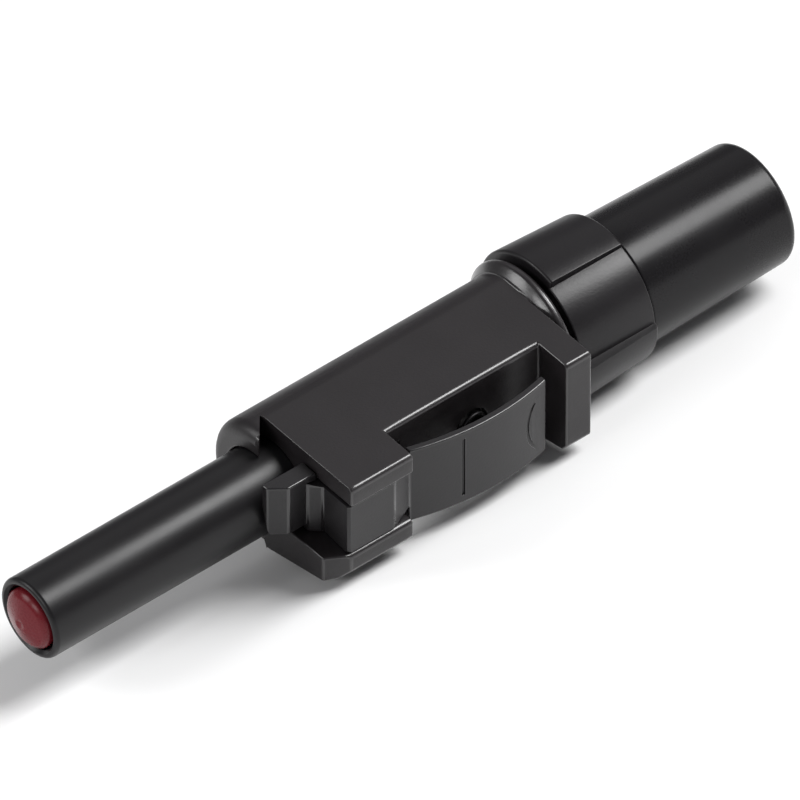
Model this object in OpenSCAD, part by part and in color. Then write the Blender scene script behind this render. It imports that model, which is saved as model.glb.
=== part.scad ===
// Touch-proof 4 mm plug with a spring-loaded insulating sleeve, a side latch lever
// and a two-piece rear cover held by a grip nut.
// X runs along the plug, front at -X. The block with the lever is on the -Y side.
// The origin is on the plug's axis, in the plane of the housing's front face.

/* [Plug pin] */
// Diameter of the plug pin and of its red tip
pin_d = 3.96; // [3.9:0.02:4]
// How far the tip's crown stands out of the sleeve
tip_out = 0.7; // [0.4:0.05:1]
// Bevel round the tip's edge
tip_bevel = 0.3; // [0.1:0.05:0.35]
// Length of the tip's straight skirt
tip_skirt = 0.8; // [0.5:0.1:1.5]
// Diameter of the core that the contact springs wrap
core_d = 2.4; // [2:0.1:2.6]
// Length of the contact spring cage
cage_len = 12; // [8:0.5:13]
// Number of spring strips round the pin
cage_strips = 8; // [5:1:10]
// Thickness of the spring strips
strip_t = 0.2; // [0.1:0.05:0.3]
// Diameter of the wire terminal behind the housing
terminal_d = 3.9; // [3.4:0.1:4.2]
// Length of the wire terminal
terminal_len = 8; // [6:0.5:9]
// Bore for the stripped wire
wire_bore_d = 2.2; // [1.5:0.1:2.6]
// Diameter of the wire clamping screw
wire_screw_d = 1.6; // [1.2:0.1:2]

/* [Touch sleeve] */
// Outside diameter of the sliding sleeve
sleeve_d = 5.4; // [5.2:0.1:6]
// Bore of the sleeve round the pin
sleeve_bore_d = 4.3; // [4.2:0.05:4.5]
// Length of sleeve that shows in front of the housing
sleeve_out = 17.55; // [14:0.5:20]
// How far the sleeve slides back into the housing
sleeve_travel = 12.5; // [10:0.5:12.5]
// Width of the shoulder ring that keeps the sleeve in
shoulder_w = 0.95; // [0.6:0.05:1.5]
// Height of the shoulder ring above the sleeve
shoulder_h = 0.3; // [0.2:0.02:0.5]
// Rounding of the sleeve's front rim
rim_round = 0.3; // [0.1:0.05:0.5]
// Wire diameter of the sleeve spring
spring_wire = 0.32; // [0.2:0.02:0.4]
// Number of turns of the sleeve spring
spring_turns = 6.5; // [4:0.5:7]

/* [Housing] */
// Diameter of the housing's round side
body_d = 8.72; // [8.2:0.1:10]
// Height of the flat top above the axis
top_z = 4.27; // [4:0.01:4.3]
// Reach of the block's side face from the axis
side_y = 7.2; // [6.8:0.1:8]
// Slope of the underside, on which the plug lies
belly_slope = 12.5; // [8:0.5:18]
// Rounding of the round side's front edge
nose_round = 0.9; // [0.3:0.1:1]
// Thickness of the front wall round the sleeve
front_wall = 2.2; // [1.8:0.1:3]
// Setback of the upper slab behind the front face
slab_setback = 1.5; // [0.8:0.05:1.6]
// Reach past the axis of the round side's front cheek
cheek_y = 0.35; // [0:0.05:0.6]
// Slant of the cheek's inner wall
cheek_angle = 50; // [40:1:55]
// Length of the block in front of the thumb notch
fore_len = 6.3; // [5.5:0.1:7]
// Length of the thumb notch
notch_len = 11.9; // [11.4:0.1:14]
// Thickness of the flange behind the notch
flange_t = 1.95; // [1.2:0.05:3]
// Top of the lower jaw, under the lever slot
jaw_z = -1.17; // [-1.6:0.01:-1]
// Top of the lever slot
slot_z = 2.85; // [2.7:0.05:3.2]
// Inner wall of the lever slot, from the axis
slot_y = 3.7; // [3.65:0.01:3.75]
// Width of the slant on the jaw's outer front corner
jaw_slant = 0.9; // [0.4:0.05:1.5]
// Bevel along the block's edges
edge_bevel = 0.2; // [0.1:0.05:0.3]
// Width of the collar behind the block
collar_w = 1.05; // [0.8:0.05:2]
// Height of the collar above the round side
collar_h = 0.59; // [0.3:0.02:0.8]
// Length of the threaded spigot
spigot_len = 3.4; // [2.5:0.1:3.6]
// Wall of the threaded spigot
spigot_wall = 0.72; // [0.6:0.02:0.8]
// Step in the bore on which the pin holder seats
holder_step = 0.15; // [0.1:0.05:0.3]

/* [Latch lever] */
// Distance of the lever's pivot behind the front face
pivot_x = 5; // [4.6:0.1:5]
// Distance of the lever's pivot from the axis
pivot_y = 4.9; // [4.88:0.01:4.95]
// Diameter of the pivot pin
pivot_d = 1.2; // [1:0.1:1.4]
// Angle through which the lever is pressed
lever_swing = 6.4; // [4:0.1:6.5]
// Diameter of the lever's eye round the pivot
eye_d = 2.2; // [2:0.05:2.2]
// Radius of the bowed thumb leaf
leaf_r = 18.5; // [15:0.5:30]
// Middle of the bow behind the front face
leaf_mid_x = 12.7; // [12:0.1:14]
// Reach of the bow from the axis
leaf_y = 7.24; // [7.1:0.02:7.6]
// Thickness of the thumb leaf
leaf_t = 0.5; // [0.4:0.05:0.7]
// Lower edge of the thumb leaf
leaf_z0 = -2.25; // [-2.6:0.05:-1.8]
// Upper edge of the thumb leaf
leaf_z1 = 3.6; // [3:0.05:4]
// Gap between the leaf and the notch's front wall
leaf_fore_gap = 0.45; // [0.3:0.05:0.8]
// Gap between the leaf and the flange
leaf_aft_gap = 1.2; // [0.8:0.05:2]
// Gap left behind the leaf when it is pressed
leaf_stop_gap = 0.3; // [0.05:0.05:0.4]
// Upper edge of the latch nose
nose_z1 = 3.4; // [3:0.05:3.6]
// Lower edge of the latch nose
nose_z0 = -0.45; // [-0.8:0.05:0]
// Thickness of the latch nose
nose_t = 0.95; // [0.8:0.05:1.1]
// Slant of the nose's lead-in face
nose_slant = 38; // [32:1:45]
// Reach of the arm's outer face from the axis
arm_y = 7.05; // [6.8:0.05:7.1]
// How far the latch nose stands out of the front face
nose_out = 1.75; // [1:0.05:2]
// Reach of the nose's edge from the axis
nose_y = 3.15; // [3.1:0.05:3.4]
// Lean of the nose's inner face, beside the sleeve
nose_lean = 14; // [8:1:20]
// Wire diameter of the lever spring
lever_wire = 0.26; // [0.2:0.02:0.3]
// Mean diameter of the lever spring
lever_coil_d = 1.8; // [1.4:0.1:2]
// Number of turns of the lever spring
lever_turns = 4; // [3:0.5:5]
// Place of the lever spring behind the front face
lever_spring_x = 13; // [11:0.1:15]
// Depth of the spring's seat in the notch floor
spring_seat = 0.6; // [0.3:0.05:0.7]
// Width of the grip grooves in the leaf
groove_w = 0.22; // [0.1:0.02:0.4]
// Depth of the grip grooves in the leaf
groove_depth = 0.15; // [0.1:0.05:0.3]
// Distance of the straight groove from the leaf's front end
groove_at = 3.45; // [2.5:0.05:4.5]
// Radius of the curved groove
groove_r = 3.2; // [2.5:0.1:4]
// Distance of the curved groove from the leaf's rear end
curve_at = 1.8; // [1.2:0.1:2.5]

/* [Grip nut] */
// Diameter over the ribs at the nut's front
nut_d_front = 10.44; // [10:0.05:11.5]
// Diameter over the ribs at the nut's rear
nut_d_rear = 9.9; // [9.6:0.05:11]
// Diameter over the finger flats
flat_d = 9.2; // [9:0.05:9.5]
// Width of each finger flat, as an angle
flat_angle = 68; // [40:1:80]
// Direction of the first finger flat, from the top towards the block
flat_at = 52; // [0:1:90]
// Rounding of the ribs' rear edges
rib_round = 0.25; // [0.2:0.05:0.8]
// Length of the nut
nut_len = 5.75; // [5:0.05:7]
// Open groove between collar and nut
nut_gap = 0.4; // [0.2:0.05:1]
// Thickness of the lip at the nut's rear
lip_t = 1.6; // [1:0.1:2]
// Pitch of the nut's thread
thread_pitch = 0.8; // [0.5:0.1:1]

/* [Rear sleeve] */
// Diameter of the rear sleeve next to the nut
tail_d_front = 8.73; // [8.4:0.05:9.2]
// Diameter of the rear sleeve at its end
tail_d_rear = 8.2; // [7.6:0.05:8.8]
// Length of the rear sleeve behind the nut
tail_len = 11.6; // [9:0.1:20]
// Rounding of the rear edge
tail_round = 0.6; // [0.3:0.1:1.6]
// Diameter of the cable entry
cable_d = 4.2; // [3:0.1:5]
// Length of the cable entry
cable_len = 5.5; // [3:0.25:6]
// Wall of the neck inside the nut
neck_wall = 0.75; // [0.6:0.05:0.9]

/* [Clearances] */
// Radial gap of the sliding sleeve in the front wall
slide_gap = 0.06; // [0.03:0.01:0.1]
// Radial gap of fixed pieces in their seats
seat_gap = 0.02; // [0.01:0.01:0.04]
// Radial gap of the pivot and of the nut on its neck
turn_gap = 0.05; // [0.03:0.01:0.08]
// Radial gap between the nut's bore and the spigot
thread_gap = 0.08; // [0.05:0.01:0.12]
// Gap between the lever and the walls of its slot
lever_gap = 0.1; // [0.05:0.01:0.15]
// Gap between the latch nose and the sleeve
nose_gap = 0.32; // [0.3:0.01:0.4]
// Axial play of pieces that stop each other
play = 0.05; // [0.03:0.01:0.1]

/* [Hidden] */
$fn = 64;
far = 60;

black = [0.05, 0.05, 0.055];
grey = [0.16, 0.16, 0.17];
red = [0.62, 0.05, 0.09];
nickel = [0.75, 0.74, 0.7];
steel = [0.62, 0.63, 0.65];
white = [0.85, 0.84, 0.8];

// Radii of the pieces that share the plug's axis
neck_step = 0.15;
thread_depth = 0.25;
body_r = body_d / 2;
pin_r = pin_d / 2;
core_r = core_d / 2;
sleeve_r = sleeve_d / 2;
sleeve_bore_r = sleeve_bore_d / 2;
shoulder_r = sleeve_r + shoulder_h;
bore_r = shoulder_r + 1.5 * slide_gap;
holder_r = bore_r + holder_step;
spigot_r = holder_r + spigot_wall;
collar_r = body_r + collar_h;
nut_bore_r = spigot_r + thread_gap;
neck_r = spigot_r - neck_step;
lip_r = neck_r + turn_gap;
tail_bore_r = neck_r - neck_wall;
terminal_r = terminal_d / 2;
wire_r = wire_bore_d / 2;

// Stations along the axis
slab_x = slab_setback;
notch_x0 = fore_len;
notch_x1 = notch_x0 + notch_len;
block_x = notch_x1 + flange_t;
collar_x = block_x + collar_w;
spigot_x = collar_x + spigot_len;
nut_x0 = collar_x + nut_gap;
nut_x1 = nut_x0 + nut_len;
lip_x = nut_x1 - lip_t;
tail_x0 = nut_x1 + play;
tail_x1 = tail_x0 + tail_len;
sleeve_x0 = -sleeve_out;
shoulder_x0 = front_wall + play;
shoulder_x1 = shoulder_x0 + shoulder_w;
crown_x = sleeve_x0 - tip_out;

// The pin's stack behind the sleeve spring
washer_t = 0.3;
pin_flange_t = 0.8;
clip_t = 0.4;
ring_t = 0.6;
terminal_step = 0.35;
clip_depth = 0.25;
spring_solid = (spring_turns + 1.3) * spring_wire;
washer_x0 = shoulder_x1 + sleeve_travel + spring_solid;
flange_x0 = washer_x0 + washer_t;
holder_x0 = flange_x0 + pin_flange_t;
holder_x1 = spigot_x - ring_t - play;
terminal_x0 = spigot_x + terminal_step;
terminal_x1 = terminal_x0 + terminal_len;
flange_step = 0.5;
rear_step = 0.4;
pin_flange_r = pin_r + flange_step;
pin_rear_r = pin_r - rear_step;
shank_r = pin_r - slide_gap;
washer_bore_r = shank_r + turn_gap;

// The tip and the cage on the front of the pin
stud_r = 0.8;
stud_len = 0.9;
tip_x1 = crown_x + tip_out + tip_skirt;
tip_seat = 0.75;
cage_x0 = tip_x1 + tip_seat;
cage_x1 = cage_x0 + cage_len;
cage_ring = 0.9;
cage_low = core_r + seat_gap;

// The lever
underside_z = (pivot_y * sin(belly_slope) - body_r) / cos(belly_slope);
leaf_x0 = notch_x0 + leaf_fore_gap;
leaf_x1 = notch_x1 - leaf_aft_gap;
arm_z1 = slot_z - lever_gap;
hub_z = jaw_z + lever_gap;
pivot_r = pivot_d / 2;
eye_r = eye_d / 2;
bridge_t = 0.65;
bridge_x = slab_x - lever_gap;
nose_end = sleeve_r + nose_gap + nose_t;
spring_z = (leaf_z0 + leaf_z1) / 2;
lever_seat_r = (lever_coil_d + lever_wire) / 2 + 2 * lever_gap;
notch_y = bow(leaf_x1) - leaf_t - (leaf_x1 - pivot_x) * sin(lever_swing) - leaf_stop_gap;
pivot_top = slot_z + (top_z - slot_z) * 0.6;
pivot_foot = underside_z + lever_gap;

// The nut's clip sits in a groove of the neck
clip_groove_depth = 0.35;
neck_x0 = spigot_x + 3 * play;
clip_x1 = lip_x - 2 * play;
clip_x0 = clip_x1 - clip_t;

// Distance from the axis of the leaf's outer face
function bow(x) = leaf_y - leaf_r + sqrt(leaf_r * leaf_r - (x - leaf_mid_x) * (x - leaf_mid_x));

// Distance from the axis of the cheek's slanted wall
function cheek_at(x) = cheek_y - x * tan(cheek_angle);

// Points of an arc in the plane
function arc(cx, cy, r, a0, a1, n = 8) =
    [for (i = [0 : n]) let (a = a0 + (a1 - a0) * i / n) [cx + r * cos(a), cy + r * sin(a)]];

// Turns a profile of [radius, station] points about the plug's axis
module turned(points) {
    rotate([0, 90, 0]) rotate_extrude() polygon(points);
}

// A plain round bar along the axis
module bar(r, x0, x1) {
    translate([x0, 0, 0]) rotate([0, 90, 0]) cylinder(r = r, h = x1 - x0);
}

// A ring along the axis
module tube(r_out, r_in, x0, x1) {
    difference() {
        bar(r_out, x0, x1);
        bar(r_in, x0 - 1, x1 + 1);
    }
}

// A box given by its corners, with distances from the axis towards the block
module block_box(x0, x1, y0, y1, z0, z1) {
    translate([x0, -y1, z0]) cube([x1 - x0, y1 - y0, z1 - z0]);
}

// Lays a section of [distance towards the block, height] points along the axis
module along_axis(x0, x1) {
    translate([x0, 0, 0]) rotate([90, 0, 90]) linear_extrude(x1 - x0) mirror([1, 0, 0]) children();
}

// Raises a plan of [station, distance towards the block] points between two heights
module raised(z0, z1) {
    translate([0, 0, z0]) linear_extrude(z1 - z0) mirror([0, 1, 0]) children();
}

// A round wire coil along +Z, resting flat between its two ends
module coil(mean_r, wire, length, turns, steps = 18, sides = 6) {
    wire_r = wire / 2;
    count = ceil(turns * steps);
    rise = (length - wire) / count;
    points = [
        for (i = [0 : count])
            for (k = [0 : sides - 1])
                let (a = 360 * i / steps, b = 360 * k / sides, r = mean_r + wire_r * cos(b))
                [r * cos(a), r * sin(a), wire_r + i * rise + wire_r * sin(b)]
    ];
    walls = [
        for (i = [0 : count - 1])
            for (k = [0 : sides - 1])
                let (n = (k + 1) % sides)
                [i * sides + k, (i + 1) * sides + k, (i + 1) * sides + n, i * sides + n]
    ];
    first = [for (k = [0 : sides - 1]) k];
    last = [for (k = [sides - 1 : -1 : 0]) count * sides + k];
    polyhedron(points, concat([first], [last], walls), convexity = 10);
}

// Section of the block, from the axis to its side face
module block_section() {
    tangent = [body_r * sin(belly_slope), -body_r * cos(belly_slope)];
    corner_z = (side_y * sin(belly_slope) - body_r) / cos(belly_slope);
    polygon([
        [0, 0], tangent,
        [side_y - 2 * edge_bevel, corner_z - 2 * edge_bevel * tan(belly_slope)],
        [side_y, corner_z + 2 * edge_bevel],
        [side_y, top_z - edge_bevel], [side_y - edge_bevel, top_z], [0, top_z]
    ]);
}

// The round side of the housing with its rounded front edge, collar and spigot
module round_side() {
    bevel = 0.55;
    turned(concat(
        [[0, 0]],
        arc(body_r - nose_round, nose_round, nose_round, -90, 0),
        [
            [body_r, block_x], [collar_r - bevel, block_x], [collar_r, block_x + bevel],
            [collar_r, collar_x - edge_bevel], [collar_r - edge_bevel, collar_x],
            [spigot_r - thread_depth, collar_x], [spigot_r - thread_depth, collar_x + thread_pitch],
            [spigot_r, collar_x + thread_pitch + thread_depth], [spigot_r, spigot_x - edge_bevel],
            [spigot_r - edge_bevel, spigot_x], [0, spigot_x]
        ]
    ));
}

// Bevel cutter along an edge that runs with the axis
module edge_cut(x0, x1, y, z) {
    size = edge_bevel * sqrt(2);
    translate([x0, -y, z]) rotate([45, 0, 0]) translate([0, -size / 2, -size / 2])
        cube([x1 - x0, size, size]);
}

// The moulded housing: round side, block, lever slot and thumb notch
module body_housing() {
    color(black) difference() {
        union() {
            intersection() {
                round_side();
                block_box(-1, block_x, -far, far, -far, top_z);
            }
            intersection() {
                round_side();
                block_box(block_x, far, -far, far, -far, far);
            }
            along_axis(0, block_x) block_section();
        }
        // Setback of the upper slab, open to the front, with a slanted cheek
        raised(jaw_z, far) polygon([
            [-slab_x, cheek_at(-slab_x)], [slab_x, cheek_at(slab_x)], [slab_x, far], [-slab_x, far]
        ]);
        // Slot for the lever's arm, open to the front, the side and the notch
        block_box(0, notch_x0 + 1, slot_y, far, jaw_z, slot_z);
        // Thumb notch, open at the side, the top and the underside
        block_box(notch_x0, notch_x1, notch_y, far, -far, far);
        edge_cut(notch_x0, notch_x1, notch_y, top_z);
        edge_cut(-1, notch_x0, side_y, jaw_z);
        // Slanted outer corner of the lower jaw
        raised(-far, hub_z) polygon([
            [0, side_y - jaw_slant], [slab_x, side_y], [slab_x, far], [-far, far],
            [-far, side_y - jaw_slant]
        ]);
        // Bores for the sleeve, its shoulder and the pin holder
        bar(sleeve_r + slide_gap, -1, front_wall + 1);
        bar(bore_r, front_wall, holder_x0 + 1);
        bar(holder_r, holder_x0, spigot_x + 1);
        // Blind hole for the pivot, and the lever spring's seat
        translate([pivot_x, -pivot_y, -far])
            cylinder(r = pivot_r + seat_gap, h = far + pivot_top + lever_gap);
        translate([lever_spring_x, -notch_y - 1, spring_z]) rotate([-90, 0, 0])
            cylinder(r = lever_seat_r, h = 1 + spring_seat);
    }
}

// The sliding sleeve that covers the pin
module touch_sleeve() {
    mouth = 0.2;
    color(grey) turned(concat(
        [[sleeve_bore_r, sleeve_x0 + mouth], [sleeve_bore_r + mouth, sleeve_x0]],
        arc(sleeve_r - rim_round, sleeve_x0 + rim_round, rim_round, -90, 0),
        [
            [sleeve_r, shoulder_x0], [shoulder_r, shoulder_x0],
            [shoulder_r, shoulder_x1], [sleeve_bore_r, shoulder_x1]
        ]
    ));
}

// The coil spring that pushes the sleeve forward
module sleeve_spring() {
    coil_r = (sleeve_bore_r + shoulder_r) / 2;
    color(steel) translate([shoulder_x1, 0, 0]) rotate([0, 90, 0])
        coil(coil_r, spring_wire, washer_x0 - shoulder_x1, spring_turns);
}

// The turned pin: stud for the tip, spring seat, shank, flange and wire terminal
module contact_pin() {
    front_collar = cage_low + strip_t + play;
    clip_groove = pin_rear_r - clip_depth;
    bevel = 0.3;
    wire_depth = terminal_len * 0.75;
    color(nickel) difference() {
        turned([
            [0, tip_x1 - stud_len], [stud_r, tip_x1 - stud_len], [stud_r, tip_x1],
            [front_collar, tip_x1], [front_collar, cage_x0], [core_r, cage_x0],
            [core_r, cage_x1], [shank_r, cage_x1 + shank_r - core_r], [shank_r, flange_x0],
            [pin_flange_r, flange_x0], [pin_flange_r, holder_x0], [pin_rear_r, holder_x0],
            [pin_rear_r, holder_x1 + play], [clip_groove, holder_x1 + play],
            [clip_groove, holder_x1 + play + clip_t], [pin_rear_r, holder_x1 + play + clip_t],
            [pin_rear_r, terminal_x0], [terminal_r, terminal_x0 + bevel],
            [terminal_r, terminal_x1 - bevel], [terminal_r - bevel, terminal_x1], [0, terminal_x1]
        ]);
        bar(wire_r, terminal_x1 - wire_depth, terminal_x1 + 1);
        translate([terminal_x0 + terminal_len / 2, 0, 0])
            cylinder(r = wire_screw_d / 2 + seat_gap, h = far);
    }
}

// The cage of bowed spring strips that grips the mating socket
module contact_springs() {
    slit = 0.45;
    rise = pin_r - cage_low - strip_t;
    x0 = cage_x0 + cage_ring;
    span = cage_len - 2 * cage_ring;
    n = 10;
    bowed = [for (i = [0 : n]) [cage_low + rise * sin(180 * i / n), x0 + span * i / n]];
    outer = [for (i = [n : -1 : 0]) [bowed[i][0] + strip_t, bowed[i][1]]];
    color(nickel) difference() {
        turned(concat(
            [[cage_low, cage_x0 + play]], bowed, [[cage_low, cage_x1 - play]],
            [[cage_low + strip_t, cage_x1 - play]], outer, [[cage_low + strip_t, cage_x0 + play]]
        ));
        for (i = [0 : cage_strips - 1])
            rotate([360 * i / cage_strips, 0, 0]) translate([x0, -slit / 2, 0]) cube([span, slit, far]);
    }
}

// The red insulating tip with its low cone and centre dimple
module pin_tip() {
    dimple_r = 0.35;
    dimple_depth = 0.12;
    shoulder = tip_x1 - tip_skirt;
    color(red) difference() {
        turned([
            [0, crown_x + dimple_depth], [dimple_r, crown_x],
            [pin_r - tip_bevel, shoulder - tip_bevel], [pin_r, shoulder],
            [pin_r, tip_x1], [0, tip_x1]
        ]);
        bar(stud_r + seat_gap, tip_x1 - stud_len - play, tip_x1 + 1);
    }
}

// The insulating bush that carries the pin in the housing
module pin_holder() {
    color(white) tube(holder_r - seat_gap, pin_rear_r + seat_gap, holder_x0, holder_x1);
}

// The ring that keeps the pin holder in the spigot
module holder_ring() {
    ring_bore_r = pin_flange_r;
    color(steel) tube(holder_r - seat_gap, ring_bore_r, holder_x1 + play, spigot_x);
}

// Open spring clip on a groove, lying across the axis
module open_clip(r_out, r_in, x0, mouth_angle) {
    translate([x0, 0, 0]) rotate([0, 90, 0]) rotate([0, 0, mouth_angle / 2])
        rotate_extrude(angle = 360 - mouth_angle)
            translate([r_in, 0]) square([r_out - r_in, clip_t - play]);
}

// The clip behind the pin holder
module pin_clip() {
    mouth_angle = 80;
    grip_r = pin_rear_r - clip_depth + seat_gap;
    color(steel) open_clip(pin_rear_r + 2 * clip_depth, grip_r, holder_x1 + play, mouth_angle);
}

// The washer between the sleeve spring and the pin's flange
module spring_washer() {
    color(steel) tube(bore_r - turn_gap, washer_bore_r, washer_x0, flange_x0);
}

// The grub screw that clamps the wire
module wire_screw() {
    slot_w = 0.3;
    stand_out = 0.3;
    length = terminal_r + stand_out - wire_r + slot_w;
    color(steel) translate([terminal_x0 + terminal_len / 2, 0, wire_r - slot_w]) difference() {
        cylinder(r = wire_screw_d / 2, h = length);
        translate([-far, -slot_w / 2, length - slot_w]) cube([2 * far, slot_w, far]);
    }
}

// Plan of the latch nose, a blade beside the sleeve with a slanted lead-in
module nose_plan() {
    ramp_x = (nose_end - nose_y) / tan(nose_slant) - nose_out;
    polygon([
        [-nose_out, sleeve_r], [-nose_out, nose_y], [ramp_x, nose_end],
        [bridge_x, nose_end], [bridge_x, sleeve_r]
    ]);
}

// Plan of the lever's arm, from the gusset behind the nose to the thumb leaf
module arm_plan() {
    bevel = 0.3;
    root = 2.4;
    gusset_x = bridge_x - bridge_t;
    gusset_y = nose_end - nose_t / 2;
    arm_in = slot_y + 1.5 * lever_gap;
    root_x = leaf_x0 + root;
    root_y = bow(root_x) - leaf_t;
    polygon([
        [gusset_x, gusset_y], [gusset_x, nose_end], [bridge_x, nose_end + bridge_t],
        [bridge_x, arm_y - bevel / 2], [bridge_x + bevel / 2, arm_y], [pivot_x, arm_y],
        [leaf_x0, bow(leaf_x0)], [root_x, root_y + leaf_t / 2], [root_x, root_y],
        [root_x - bevel, root_y - bevel], [pivot_x + eye_r, pivot_y + eye_r / 2],
        [pivot_x + eye_r / 2, arm_in], [bridge_x, arm_in], [bridge_x, gusset_y]
    ]);
}

// The bowed thumb leaf, as a plan of its bow
module leaf_plan() {
    n = 16;
    step = (leaf_x1 - leaf_x0) / n;
    outer = [for (i = [0 : n]) [leaf_x0 + i * step, bow(leaf_x0 + i * step)]];
    inner = [for (i = [n : -1 : 0]) [leaf_x0 + i * step, bow(leaf_x0 + i * step) - leaf_t]];
    polygon(concat(outer, inner));
}

// The lever: thumb leaf, arm with the pivot's hub, and the latch nose beside the sleeve
module release_lever() {
    groove_x = leaf_x0 + groove_at;
    curve_x = leaf_x1 - curve_at;
    groove_end = 0.6;
    groove_z0 = leaf_z0 + groove_end;
    groove_z1 = leaf_z1 - groove_end;
    color(black) difference() {
        union() {
            raised(leaf_z0, leaf_z1) leaf_plan();
            raised(nose_z0, nose_z1) nose_plan();
            raised(hub_z, arm_z1) arm_plan();
            raised(hub_z, arm_z1) translate([pivot_x, pivot_y]) circle(r = eye_r);
        }
        translate([pivot_x, -pivot_y, -far]) cylinder(r = pivot_r + turn_gap, h = 2 * far);
        // Leaning inner face of the nose
        rotate([-nose_lean, 0, 0]) block_box(-far, far, -far, sleeve_r + nose_gap, -far, far);
        // Straight and curved grip grooves in the leaf's outer face
        block_box(groove_x, groove_x + groove_w, bow(groove_x) - groove_depth, far, groove_z0, groove_z1);
        intersection() {
            translate([curve_x + groove_r, -bow(curve_x) + groove_depth, spring_z]) rotate([90, 0, 0])
                difference() {
                    cylinder(r = groove_r, h = far);
                    translate([0, 0, -1]) cylinder(r = groove_r - groove_w, h = far + 2);
                }
            block_box(curve_x - 1, curve_x + 1, 0, far, groove_z0, groove_z1);
        }
    }
}

// The pin on which the lever turns
module lever_pin() {
    color(steel) translate([pivot_x, -pivot_y, pivot_foot])
        cylinder(r = pivot_r, h = pivot_top - pivot_foot);
}

// The small coil spring behind the thumb leaf
module lever_spring() {
    foot = notch_y - spring_seat;
    color(steel) translate([lever_spring_x, -foot, spring_z]) rotate([90, 0, 0])
        coil(lever_coil_d / 2, lever_wire, bow(lever_spring_x) - leaf_t - play - foot, lever_turns);
}

// The cut that leaves one finger flat, facing down
module flat_cut() {
    flat_r = flat_d / 2;
    rotate([0, 90, 0]) rotate([0, 0, -flat_angle / 2]) rotate_extrude(angle = flat_angle)
        polygon([[flat_r, nut_x0 - 1], [far, nut_x0 - 1], [far, nut_x1 + 1], [flat_r, nut_x1 + 1]]);
}

// The grip nut with its rear lip, two broad ribs and two finger flats
module union_nut() {
    front_r = nut_d_front / 2;
    rear_r = nut_d_rear / 2;
    color(black) rotate([flat_at, 0, 0]) difference() {
        turned(concat(
            [[nut_bore_r, nut_x0], [front_r - edge_bevel, nut_x0], [front_r, nut_x0 + edge_bevel]],
            arc(rear_r - rib_round, nut_x1 - rib_round, rib_round, 0, 90, 4),
            [[lip_r, nut_x1], [lip_r, lip_x], [nut_bore_r, lip_x]]
        ));
        for (side = [0, 180])
            rotate([side, 0, 0]) flat_cut();
    }
}

// The rear sleeve with its neck inside the nut and the cable entry
module rear_sleeve() {
    tail_front = tail_d_front / 2;
    tail_rear = tail_d_rear / 2;
    entry_bevel = 0.4;
    inner_x = tail_x1 - cable_len;
    color(grey) turned(concat(
        [
            [tail_bore_r, neck_x0], [neck_r, neck_x0], [neck_r, clip_x0],
            [neck_r - clip_groove_depth, clip_x0], [neck_r - clip_groove_depth, clip_x1],
            [neck_r, clip_x1], [neck_r, tail_x0], [tail_front - edge_bevel, tail_x0],
            [tail_front, tail_x0 + edge_bevel]
        ],
        arc(tail_rear - tail_round, tail_x1 - tail_round, tail_round, 0, 90),
        [
            [cable_d / 2 + entry_bevel, tail_x1], [cable_d / 2, tail_x1 - entry_bevel],
            [cable_d / 2, inner_x], [tail_bore_r, inner_x - tail_bore_r + cable_d / 2]
        ]
    ));
}

// The clip that holds the nut on the rear sleeve's neck
module neck_clip() {
    mouth = 70;
    color(steel)
        open_clip(nut_bore_r - turn_gap, neck_r - clip_groove_depth + seat_gap, clip_x0 + play / 2, mouth);
}

// Lays the plug on its sloping underside, as it comes to rest
module at_rest() {
    rotate([belly_slope, 0, 0]) children();
}

at_rest() body_housing();
at_rest() touch_sleeve();
at_rest() sleeve_spring();
at_rest() contact_pin();
at_rest() contact_springs();
at_rest() pin_tip();
at_rest() pin_holder();
at_rest() holder_ring();
at_rest() pin_clip();
at_rest() spring_washer();
at_rest() wire_screw();
at_rest() release_lever();
at_rest() lever_pin();
at_rest() lever_spring();
at_rest() union_nut();
at_rest() rear_sleeve();
at_rest() neck_clip();
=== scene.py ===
# %% [markdown]
# # A touch-proof test plug
#
# The plug has a black moulded housing with a latch lever on its side, an insulating
# sleeve that slides back over a nickel pin, a grip nut and a rear sleeve for the cable.
# The CAD frame gives the solids and how they move. This lesson gives them soft edges,
# finishes, light and a camera.

# %% The frame
from math import atan2, cos, degrees, hypot, pi, radians, sin

import bmesh
import bpy
from mathutils import Matrix, Vector


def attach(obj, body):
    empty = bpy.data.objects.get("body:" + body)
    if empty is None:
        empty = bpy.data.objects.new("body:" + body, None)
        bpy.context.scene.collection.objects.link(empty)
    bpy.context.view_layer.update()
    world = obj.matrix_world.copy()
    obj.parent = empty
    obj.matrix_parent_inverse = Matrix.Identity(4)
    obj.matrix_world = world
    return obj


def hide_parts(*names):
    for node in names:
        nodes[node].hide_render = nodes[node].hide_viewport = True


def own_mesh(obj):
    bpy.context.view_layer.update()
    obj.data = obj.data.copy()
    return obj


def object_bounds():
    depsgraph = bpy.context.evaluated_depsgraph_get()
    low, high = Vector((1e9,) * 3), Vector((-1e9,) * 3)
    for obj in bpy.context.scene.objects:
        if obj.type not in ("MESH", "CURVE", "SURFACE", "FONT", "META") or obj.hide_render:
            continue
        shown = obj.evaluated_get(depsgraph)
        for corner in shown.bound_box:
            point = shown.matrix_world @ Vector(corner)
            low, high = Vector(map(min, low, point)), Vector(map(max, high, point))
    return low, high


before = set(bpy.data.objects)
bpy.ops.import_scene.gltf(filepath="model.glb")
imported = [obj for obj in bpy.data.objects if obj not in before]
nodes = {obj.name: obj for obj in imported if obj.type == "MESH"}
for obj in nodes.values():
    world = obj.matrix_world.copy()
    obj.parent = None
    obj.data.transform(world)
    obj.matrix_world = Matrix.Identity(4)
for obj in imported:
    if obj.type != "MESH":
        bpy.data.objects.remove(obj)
cad_low, cad_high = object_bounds()
scene = bpy.context.scene
MM = 0.001
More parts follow.
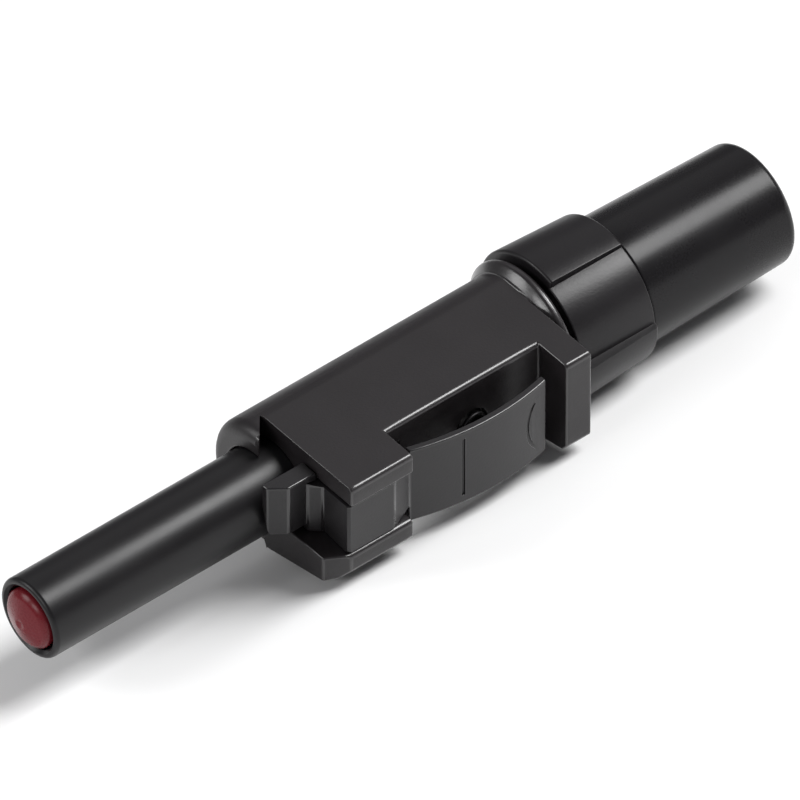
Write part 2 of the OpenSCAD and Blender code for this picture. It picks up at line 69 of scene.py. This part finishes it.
print("solids", len(nodes), "size in mm", [round(v / MM, 2) for v in cad_high - cad_low])

# %% [markdown]
# ## Shader sums
#
# A finish is worked out from noise and from places on the piece. Writing that as sums in
# Python is shorter and easier to read than placing nodes one by one. So one small class
# wraps a socket: sums on it add Math nodes, and one method makes any other node.


# %% A socket that can be summed
class Wire:
    """A shader socket that takes part in sums."""

    def __init__(self, tree, socket=None):
        self.tree = tree
        self.socket = socket

    def node(self, kind, out=0, settings=None, values=None):
        """Makes any node: its type, which output is wanted, its settings and its sockets."""
        made = self.tree.nodes.new(kind)
        for name, value in (settings or {}).items():
            setattr(made, name, value)
        for name, value in (values or {}).items():
            if isinstance(value, Wire):
                self.tree.links.new(value.socket, made.inputs[name])
            else:
                made.inputs[name].default_value = value
        return Wire(self.tree, made.outputs[out] if made.outputs else None)

    def sum(self, operation, a, b):
        return self.node("ShaderNodeMath", 0, {"operation": operation}, {0: a, 1: b})

    def __add__(self, other):
        return self.sum("ADD", self, other)

    def __sub__(self, other):
        return self.sum("SUBTRACT", self, other)

    def __rsub__(self, other):
        return self.sum("SUBTRACT", other, self)

    def __mul__(self, other):
        return self.sum("MULTIPLY", self, other)

    __radd__ = __add__
    __rmul__ = __mul__


def clouds(place, size, detail=2.0):
    """Cloudy values about a half, with patches of that size in mm."""
    values = {"Vector": place, "Scale": 1 / (size * MM), "Detail": detail}
    return place.node("ShaderNodeTexNoise", "Fac", None, values)


def blend(place, share, first, second):
    """A colour between two colours."""
    return place.node("ShaderNodeMix", 2, {"data_type": "RGBA"}, {0: share, 6: first, 7: second})


def finish(name, recipe):
    """A material whose recipe gives the shader's sockets from places on the piece."""
    made = bpy.data.materials.new(name)
    made.use_nodes = True
    made.node_tree.nodes.clear()
    start = Wire(made.node_tree)
    place = start.node("ShaderNodeTexCoord", "Object")
    shader = start.node("ShaderNodeBsdfPrincipled", 0, None, recipe(place))
    start.node("ShaderNodeOutputMaterial", 0, None, {"Surface": shader})
    print("finish", name, "with", len(made.node_tree.nodes), "nodes")
    return made


# %% [markdown]
# ## Black moulded plastic
#
# Housing, lever and nut are one black plastic with a fine moulded grain. Along the edges
# the grain is rubbed smoother, so they carry the thin light lines that show the form.
# A picture texture would need unwrapping. Noise at the right size needs none: large
# clouds for uneven gloss, a fine grain for the bump, and the attribute "edge" that the
# bevels leave on their faces. The sleeves, the tip and the white bush take the same recipe
# with a finer grain.


# %% Moulded plastics
def moulded(dark, light, gloss, grain, shine=0.5):
    """A recipe for plastic: two colours, roughness, grain in mm and strength of mirror light."""

    def recipe(place):
        flow = clouds(place, 5.0)
        fine = clouds(place, 0.16, 3.0)
        rubbed = place.node("ShaderNodeAttribute", "Fac", {"attribute_name": "edge"})
        bump = {"Strength": 0.6, "Distance": grain * MM, "Height": fine}
        return {
            "Base Color": blend(place, flow * 0.7 + fine * 0.3, dark, light),
            "Roughness": gloss + (flow - 0.5) * 0.16 + (fine - 0.5) * 0.08 - rubbed * 0.10,
            "Coat Weight": rubbed * 0.6,
            "Coat Roughness": 0.22,
            "Specular IOR Level": shine,
            "Normal": place.node("ShaderNodeBump", 0, None, bump),
            "IOR": 1.5,
        }

    return recipe


housing_black = finish(
    "black housing plastic",
    moulded((0.008, 0.0065, 0.0072, 1), (0.013, 0.0105, 0.012, 1), 0.42, 0.012),
)
lever_black = finish(
    "black lever plastic",
    moulded((0.007, 0.0063, 0.0072, 1), (0.011, 0.0095, 0.0108, 1), 0.40, 0.010),
)
nut_black = finish(
    "black nut plastic",
    moulded((0.007, 0.0063, 0.0072, 1), (0.011, 0.0095, 0.0108, 1), 0.36, 0.008, 0.32),
)
tube_black = finish(
    "black sleeve plastic",
    moulded((0.006, 0.0055, 0.0062, 1), (0.009, 0.0082, 0.0092, 1), 0.35, 0.003, 0.32),
)
tail_black = finish(
    "black cover plastic",
    moulded((0.006, 0.0055, 0.0062, 1), (0.009, 0.0082, 0.0092, 1), 0.28, 0.002, 0.215),
)
tip_red = finish(
    "red tip plastic", moulded((0.11, 0.009, 0.013, 1), (0.165, 0.012, 0.018, 1), 0.26, 0.006, 0.22)
)
bush_white = finish(
    "white bush plastic", moulded((0.62, 0.60, 0.55, 1), (0.72, 0.70, 0.66, 1), 0.45, 0.008)
)

# %% [markdown]
# ## Metal
#
# The pin is turned brass under nickel, so its faint marks run round it. Noise that is
# squeezed along the plug's axis gives such rings. The clips are bright steel with a
# cloudy gloss. The springs' wire is coloured near black as painted shade, so the lever
# spring shows as dark as the shade inside its notch.


# %% Nickel and steel
def turned_nickel(place):
    rings = place.node("ShaderNodeMapping", 0, None, {"Vector": place, "Scale": (1.0, 0.02, 0.02)})
    marks = clouds(rings, 0.06, 3.0)
    flow = clouds(place, 3.0)
    bump = {"Strength": 0.35, "Distance": 0.004 * MM, "Height": marks}
    return {
        "Base Color": blend(place, flow, (0.60, 0.57, 0.52, 1), (0.70, 0.68, 0.64, 1)),
        "Metallic": 1.0,
        "Roughness": 0.18 + marks * 0.14 + flow * 0.06,
        "Normal": place.node("ShaderNodeBump", 0, None, bump),
    }


def drawn(dark, light, gloss):
    """A recipe for drawn steel between two colours."""

    def recipe(place):
        flow = clouds(place, 1.2)
        fine = clouds(place, 0.08)
        bump = {"Strength": 0.3, "Distance": 0.003 * MM, "Height": fine}
        return {
            "Base Color": blend(place, flow, dark, light),
            "Metallic": 1.0,
            "Roughness": gloss + flow * 0.12 + fine * 0.06,
            "Normal": place.node("ShaderNodeBump", 0, None, bump),
        }

    return recipe


nickel = finish("turned nickel", turned_nickel)
steel = finish("drawn steel", drawn((0.46, 0.46, 0.47, 1), (0.60, 0.60, 0.61, 1), 0.22))
# painted shade: the spring wire is coloured near black so the lever spring reads as the shade in
# its notch
shade_dark_wire = finish(
    "wire darkened as painted shade", drawn((0.016, 0.0155, 0.0165, 1), (0.03, 0.029, 0.03, 1), 0.38)
)
solids_by_finish = {
    nickel: ["contact_pin", "contact_springs"],
    steel: ["holder_ring", "pin_clip", "spring_washer", "wire_screw", "lever_pin", "neck_clip"],
    bush_white: ["pin_holder"],
}
for skin, names in solids_by_finish.items():
    for name in names:
        nodes[name].data.materials.clear()
        nodes[name].data.materials.append(skin)
print("CAD solids with a finish of their own", sum(map(len, solids_by_finish.values())))

# %% [markdown]
# ## Soft edges
#
# A mould leaves every edge slightly round, and light catches that round as a thin line.
# The solids of housing and lever have knife edges. Their meshes are loose triangles, so a
# copy is merged and its flat parts are joined. Edges with room beside them get a broad
# round, the rest a narrow one. The new faces keep an attribute, which the finish reads as
# rubbed plastic. The plug lies rolled about its axis, with its block's sloping underside
# level, so a piece that is made along the axis gets the same roll.

# %% Helpers for soft edges
ROLL = 12.5
LAY = Matrix.Rotation(radians(ROLL), 4, "X")
SHARP_FROM = radians(24)
SHADE_SMOOTH_TO = radians(35)
ROOM_NEEDED = 2.2


def closed(bm):
    """Merges doubles and turns the faces outwards."""
    bmesh.ops.remove_doubles(bm, verts=bm.verts, dist=0.0002 * MM)
    bmesh.ops.recalc_face_normals(bm, faces=bm.faces)
    return bm


def laid(bm, place=Matrix()):
    """Puts a piece that was made along the axis where the plug lies."""
    bmesh.ops.transform(bm, matrix=LAY @ place, verts=bm.verts)
    return closed(bm)


def room(e):
    """The length of the shortest edge beside an edge, on its two faces."""
    beside = [n.edge for loop in e.link_loops for n in (loop.link_loop_prev, loop.link_loop_next)]
    return min(n.calc_length() for n in beside)


def softened(node, *widths):
    """A merged copy of a solid whose sharp edges are rounded, widest first, in mm."""
    bm = bmesh.new()
    bm.from_mesh(nodes[node].data)
    bmesh.ops.remove_doubles(bm, verts=bm.verts, dist=0.002 * MM)
    bmesh.ops.dissolve_limit(bm, angle_limit=radians(0.5), verts=bm.verts, edges=bm.edges)
    edge = bm.faces.layers.float.new("edge")
    for width in widths:
        sharp = [
            e for e in bm.edges
            if e.is_manifold and e.calc_face_angle() > SHARP_FROM
            and room(e) > ROOM_NEEDED * width * MM and not any(f[edge] for f in e.link_faces)
        ]
        made = bmesh.ops.bevel(
            bm, geom=sharp, offset=width * MM, offset_type="OFFSET", segments=4, profile=0.5,
            affect="EDGES", material=-1, clamp_overlap=False,
        )
        for face in made["faces"]:
            face[edge] = 1.0
        print(node, "edges rounded to", width, "mm:", len(sharp))
    return closed(bm)


def set_in_place(name, bm, body, slot, skin, *solids):
    """Turns a finished bmesh into a piece that rides on a body."""
    for e in bm.edges:
        e.smooth = not (e.is_manifold and e.calc_face_angle() > SHADE_SMOOTH_TO)
    mesh = bpy.data.meshes.new(name)
    bm.to_mesh(mesh)
    bm.free()
    mesh.polygons.foreach_set("use_smooth", [True] * len(mesh.polygons))
    mesh.materials.append(skin)
    made = bpy.data.objects.new(name, mesh)
    scene.collection.objects.link(made)
    even = made.modifiers.new("even shading", "WEIGHTED_NORMAL")
    even.keep_sharp = True
    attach(made, body)
    if solids:
        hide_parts(*solids)
    print(name, "faces", len(mesh.polygons), "on", body)
    return made


# %% [markdown]
# ## Housing and lever
#
# A long round along a straight edge is one strip from corner to corner, and its shading
# would drift from one end to the other. Cutting the strips across keeps the light line
# even. The bevel in front of the collar is rubbed too, so it shines like the edges.

# %% Housing and lever
COLLAR_FROM = 20.0
LONG_FROM = 1.0
CUTS_ACROSS = 9
shell = softened("body_housing", 0.125, 0.05)
rubbed = shell.faces.layers.float["edge"]
long = [
    e for e in shell.edges
    if e.calc_length() > LONG_FROM * MM and any(f[rubbed] for f in e.link_faces)
]
bmesh.ops.subdivide_edges(shell, edges=long, cuts=CUTS_ACROSS, use_grid_fill=True)
print("long edges cut, so that the shine along them stays even:", len(long))
for face in shell.faces:
    if face.normal.x < -0.5 and face.calc_center_median().x > COLLAR_FROM * MM:
        face[rubbed] = 1.0
set_in_place(
    "moulded_housing", shell, "housing", "housing_plastic", housing_black, "body_housing"
)
set_in_place(
    "latch_lever", softened("release_lever", 0.12, 0.04), "lever", "lever_plastic",
    lever_black, "release_lever",
)

# %% [markdown]
# ## Turned tubes
#
# The sliding sleeve, the rear sleeve and the red tip are round about the plug's axis.
# A cylinder with loop cuts could be pushed into shape, but a profile that is spun once
# gives every step and rounding in one go, at any fineness.


# %% Spinning a profile
def spun(profile, ring=True, steps=144):
    """Spins (station, radius) points in mm about the plug's axis."""
    bm = bmesh.new()
    points = [bm.verts.new((x * MM, 0.0, r * MM)) for x, r in profile]
    pairs = list(zip(points, points[1:])) + ([(points[-1], points[0])] if ring else [])
    edges = [bm.edges.new(pair) for pair in pairs]
    bmesh.ops.spin(
        bm, geom=points + edges, cent=(0, 0, 0), axis=(1, 0, 0), dvec=(0, 0, 0),
        angle=2 * pi, steps=steps, use_merge=True, use_duplicate=False,
    )
    return closed(bm)


def rounding(x, r, size, start, end, count=10):
    """Points round an arc; 0 degrees points outwards and 90 to the rear."""
    turns = [radians(start + (end - start) * i / count) for i in range(count + 1)]
    return [(x + size * sin(a), r + size * cos(a)) for a in turns]


# %% The sliding sleeve
SLEEVE_FRONT, SLEEVE_STEP, SLEEVE_END = -17.55, 2.25, 3.2
SLEEVE_BORE, SLEEVE_R, SLEEVE_FOOT_R = 2.15, 2.7, 3.0
MOUTH_BEVEL, MOUTH_ROUND = 0.2, 0.3
sleeve_profile = [
    (SLEEVE_FRONT + MOUTH_BEVEL, SLEEVE_BORE), (SLEEVE_FRONT, SLEEVE_BORE + MOUTH_BEVEL),
    *rounding(SLEEVE_FRONT + MOUTH_ROUND, SLEEVE_R - MOUTH_ROUND, MOUTH_ROUND, -90, 0),
    (SLEEVE_STEP, SLEEVE_R), (SLEEVE_STEP, SLEEVE_FOOT_R),
    (SLEEVE_END, SLEEVE_FOOT_R), (SLEEVE_END, SLEEVE_BORE),
]
set_in_place(
    "sliding_sleeve", laid(spun(sleeve_profile)), "sleeve", "sleeve_plastic", tube_black,
    "touch_sleeve",
)

# %% The rear sleeve
NECK_FRONT, NECK_R = 24.75, 3.81
GROOVE_FRONT, GROOVE_REAR, GROOVE_R = 25.25, 25.65, 3.46
COVER_FRONT, COVER_FRONT_R, FRONT_ROUND = 27.4, 4.365, 0.2
COVER_END, COVER_END_R, END_ROUND = 39.0, 4.1, 0.6
ENTRY_FRONT, ENTRY_R, ENTRY_ROUND = 33.5, 2.1, 0.4
COVER_BORE = 3.06
rear_profile = [
    (NECK_FRONT, COVER_BORE), (NECK_FRONT, NECK_R),
    (GROOVE_FRONT, NECK_R), (GROOVE_FRONT, GROOVE_R),
    (GROOVE_REAR, GROOVE_R), (GROOVE_REAR, NECK_R), (COVER_FRONT, NECK_R),
    *rounding(COVER_FRONT + FRONT_ROUND, COVER_FRONT_R - FRONT_ROUND, FRONT_ROUND, -90, 0, 6),
    *rounding(COVER_END - END_ROUND, COVER_END_R - END_ROUND, END_ROUND, 0, 90),
    *rounding(COVER_END - ENTRY_ROUND, ENTRY_R + ENTRY_ROUND, ENTRY_ROUND, 90, 180, 6),
    (ENTRY_FRONT, ENTRY_R), (ENTRY_FRONT - COVER_BORE + ENTRY_R, COVER_BORE),
]
set_in_place(
    "rear_cover", laid(spun(rear_profile)), "tail", "sleeve_plastic", tail_black, "rear_sleeve"
)

# %% The red tip, from its dimple outwards and back along the hole for the pin's stud
tip_profile = [(-18.13, 0.0), (-18.17, 0.13), (-18.22, 0.29), (-18.235, 0.37), (-18.215, 0.47)]
tip_profile += [(-17.88, 1.57), (-17.83, 1.68), (-17.60, 1.92), (-17.52, 1.965), (-17.42, 1.98)]
tip_profile += [(-16.75, 1.98), (-16.75, 0.82), (-17.7, 0.82), (-17.7, 0.0)]
set_in_place(
    "red_tip", laid(spun(tip_profile, ring=False)), "housing", "tip_plastic", tip_red, "pin_tip"
)

# %% [markdown]
# ## The grip nut
#
# Two broad ribs stand up between two finger flats, and every corner is soft. Cutting the
# flats out of a turned ring would leave edges to bevel. Here the ring is spun at the size
# of the flats, and its skin is then raised to the ribs' profile where they are, with a
# smooth step between the two.

# %% Flats and ribs
FLAT_AT, FLAT_HALF, STEP = 52.0, 34.0, 1.2
ON_THE_SKIN = 0.001
NUT_FRONT, NUT_SHOULDER, NUT_END = 21.6, 25.75, 27.35
THREAD_BORE, NECK_BORE = 4.04, 3.86
FLAT_R, RIB_FRONT_R, RIB_END_R = 4.6, 5.215, 4.95


def nut_line(front_r, front_round, end_r, end_round):
    """The nut's outer line from front to end, with both rims rounded."""
    front = rounding(NUT_FRONT + front_round, front_r - front_round, front_round, -90, 0, 6)
    return front + rounding(NUT_END - end_round, end_r - end_round, end_round, 0, 90, 6)


flat_line = nut_line(FLAT_R, 0.12, FLAT_R, 0.12)
rib_line = nut_line(RIB_FRONT_R, 0.2, RIB_END_R, 0.25)
bore_line = [
    (NUT_END, NECK_BORE), (NUT_SHOULDER, NECK_BORE),
    (NUT_SHOULDER, THREAD_BORE), (NUT_FRONT, THREAD_BORE),
]
ring = spun(flat_line + bore_line, steps=1440)
raised = 0
for v in ring.verts:
    x, r, turn = v.co.x / MM, hypot(v.co.y, v.co.z) / MM, atan2(-v.co.y, v.co.z)
    gaps = [hypot(flat_x - x, flat_r - r) for flat_x, flat_r in flat_line]
    near = gaps.index(min(gaps))
    off = abs((degrees(turn) - FLAT_AT + 90) % 180 - 90)
    share = min(max((off - FLAT_HALF) / STEP + 0.5, 0), 1)
    if share and gaps[near] < ON_THE_SKIN:
        share = share * share * (3 - 2 * share)
        x += (rib_line[near][0] - x) * share
        r += (rib_line[near][1] - r) * share
        v.co = Vector((x, -r * sin(turn), r * cos(turn))) * MM
        raised += 1
print("points raised to the ribs", raised)
set_in_place("grip_nut", laid(ring), "nut", "nut_plastic", nut_black, "union_nut")

# %% [markdown]
# ## Springs
#
# One coil pushes the sleeve forward and a small one holds the lever out. A curve with a
# bevel would do, but each coil is made as a mesh of its own.
# A wire ring that is spun and carried along its axis at once gives the coil.


# %% Coils
def coil(mean, wire, length, turns):
    """A coil along +X from the origin: mean radius, wire and length in mm, and turns."""
    bm = bmesh.new()
    loop = bmesh.ops.create_circle(bm, segments=12, radius=wire / 2 * MM)["verts"]
    stand = Matrix.Translation((wire / 2 * MM, 0, mean * MM)) @ Matrix.Rotation(radians(90), 4, "X")
    bmesh.ops.transform(bm, matrix=stand, verts=loop)
    steps = int(turns * 40)
    bmesh.ops.spin(
        bm, geom=bm.verts[:] + bm.edges[:], cent=(0, 0, 0), axis=(1, 0, 0),
        dvec=((length - wire) * MM / steps, 0, 0), angle=2 * pi * turns, steps=steps,
        use_merge=False, use_duplicate=False,
    )
    bmesh.ops.holes_fill(bm, edges=[e for e in bm.edges if e.is_boundary], sides=0)
    return bm


seat = Matrix.Translation((SLEEVE_END * MM, 0, 0))
sleeve_coil = set_in_place(
    "sleeve_coil", laid(coil(2.575, 0.32, 14.996, 6.5), seat),
    "housing", "spring_steel", shade_dark_wire, "sleeve_spring",
)
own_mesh(sleeve_coil)

foot = Matrix.Translation((13.0 * MM, -3.995 * MM, 0.675 * MM))
lever_coil = set_in_place(
    "lever_coil", laid(coil(0.9, 0.26, 2.692, 4), foot @ Matrix.Rotation(radians(-90), 4, "Z")),
    "housing", "spring_steel", shade_dark_wire, "lever_spring",
)
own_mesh(lever_coil)

# %% [markdown]
# ## The thread on the spigot
#
# The nut screws onto the housing's spigot. The solids are plain there, with a small gap
# between them. A low ridge that winds up the spigot inside that gap shows the thread once
# the nut is loosened. Three points spun along the axis make it.

# %% Thread ridge
PITCH, TURNS, STEPS_A_TURN = 0.8, 1.8, 48
RIDGE_AT, RIDGE_HALF, RIDGE_ROOT, RIDGE_CREST = 22.6, 0.3, 3.93, 4.03
thread = bmesh.new()
ridge = [
    (RIDGE_AT - RIDGE_HALF, RIDGE_ROOT), (RIDGE_AT, RIDGE_CREST),
    (RIDGE_AT + RIDGE_HALF, RIDGE_ROOT),
]
corners = [thread.verts.new((x * MM, 0, r * MM)) for x, r in ridge]
sides = [thread.edges.new(pair) for pair in zip(corners, corners[1:] + corners[:1])]
bmesh.ops.spin(
    thread, geom=corners + sides, cent=(0, 0, 0), axis=(1, 0, 0),
    dvec=(PITCH / STEPS_A_TURN * MM, 0, 0), angle=2 * pi * TURNS, steps=int(TURNS * STEPS_A_TURN),
    use_merge=False, use_duplicate=False,
)
bmesh.ops.holes_fill(thread, edges=[e for e in thread.edges if e.is_boundary], sides=0)
set_in_place(
    "spigot_thread", laid(thread), "housing", "housing_plastic", housing_black
)

# %% [markdown]
# ## Floor and light
#
# The photograph has the look of a product picture. A long soft light from above, towards
# the tail, draws one streak along the tubes, whitens the ground and leaves the faces
# towards the front in shade. A window in front lights the collar's bevel, and one to the
# side the front edges. A weak panel behind lifts the block's top a little. The room is
# dim, so that the black stays black between the lights.


# %% Floor
def paper(place):
    flow = clouds(place, 40.0)
    return {
        "Base Color": blend(place, flow, (0.86, 0.86, 0.86, 1), (0.90, 0.90, 0.90, 1)),
        "Roughness": 0.7 + flow * 0.1,
    }


ground = bmesh.new()
bmesh.ops.create_grid(ground, x_segments=1, y_segments=1, size=0.5)
bmesh.ops.translate(ground, vec=(0, 0, cad_low.z), verts=ground.verts)
floor_mesh = bpy.data.meshes.new("pale_floor")
ground.to_mesh(floor_mesh)
ground.free()
floor_mesh.materials.append(finish("pale paper", paper))
floor = bpy.data.objects.new("pale_floor", floor_mesh)
scene.collection.objects.link(floor)
print("floor at", round(cad_low.z / MM, 2), "mm")


# %% Soft boxes
MIDDLE = Vector((0.011, 0, 0))


def softbox(name, toward, away, length, width, radiance):
    """A rectangular light at that distance, its length laid along the plug; sizes in m."""
    up = Vector(toward).normalized()
    side = (Vector((1, 0, 0)) - up * up.x).normalized()
    lamp = bpy.data.lights.new(name, "AREA")
    lamp.shape = "RECTANGLE"
    lamp.size, lamp.size_y = length, width
    lamp.energy = radiance * pi * length * width
    made = bpy.data.objects.new(name, lamp)
    turn = Matrix((side, up.cross(side), up)).transposed().to_4x4()
    made.matrix_world = Matrix.Translation(MIDDLE + up * away) @ turn
    scene.collection.objects.link(made)
    print(name, "power in W", round(lamp.energy, 3))


softbox("overhead strip", (0.59, -0.365, 0.72), 0.35, 0.26, 0.14, 14.0)
softbox("front window", (-0.868, -0.135, 0.476), 0.40, 0.08, 0.16, 9.0)
softbox("side window", (-0.68, 0.45, 0.56), 0.40, 0.16, 0.16, 6.0)
softbox("back panel", (0.457, 0.50, 0.735), 0.50, 0.40, 0.30, 0.36)
world = bpy.data.worlds.new("dim room")
scene.world = world
world.use_nodes = True
world.node_tree.nodes["Background"].inputs["Color"].default_value = (0.16, 0.16, 0.165, 1)

# %% [markdown]
# ## Camera
#
# The photograph looks down on the plug from its front, with hardly any perspective. The
# picture's right and up directions were found from the plug's own axes in the photograph,
# and a very long lens from far away gives the near parallel view.

# %% Camera
AIM = Vector((0.0112, 0, 0))
FRAME_WIDTH, FRAME_LIFT = 0.048, 0.000318
right = Vector((0.7705, -0.6219, -0.13787)).normalized()
up = Vector((0.4439, 0.36904, 0.81643)).normalized()
back = right.cross(up)
up = back.cross(right)
lens = bpy.data.cameras.new("long lens")
lens.lens = 1600
lens.sensor_width = 36
lens.clip_start, lens.clip_end = 0.01, 10
camera = bpy.data.objects.new("long lens", lens)
spot = AIM + up * FRAME_LIFT + back * (lens.lens / lens.sensor_width * FRAME_WIDTH)
camera.matrix_world = Matrix.Translation(spot) @ Matrix((right, up, back)).transposed().to_4x4()
scene.collection.objects.link(camera)
scene.camera = camera
scene.view_settings.view_transform = "Standard"
print("camera distance in m", round((spot - AIM).length, 3))
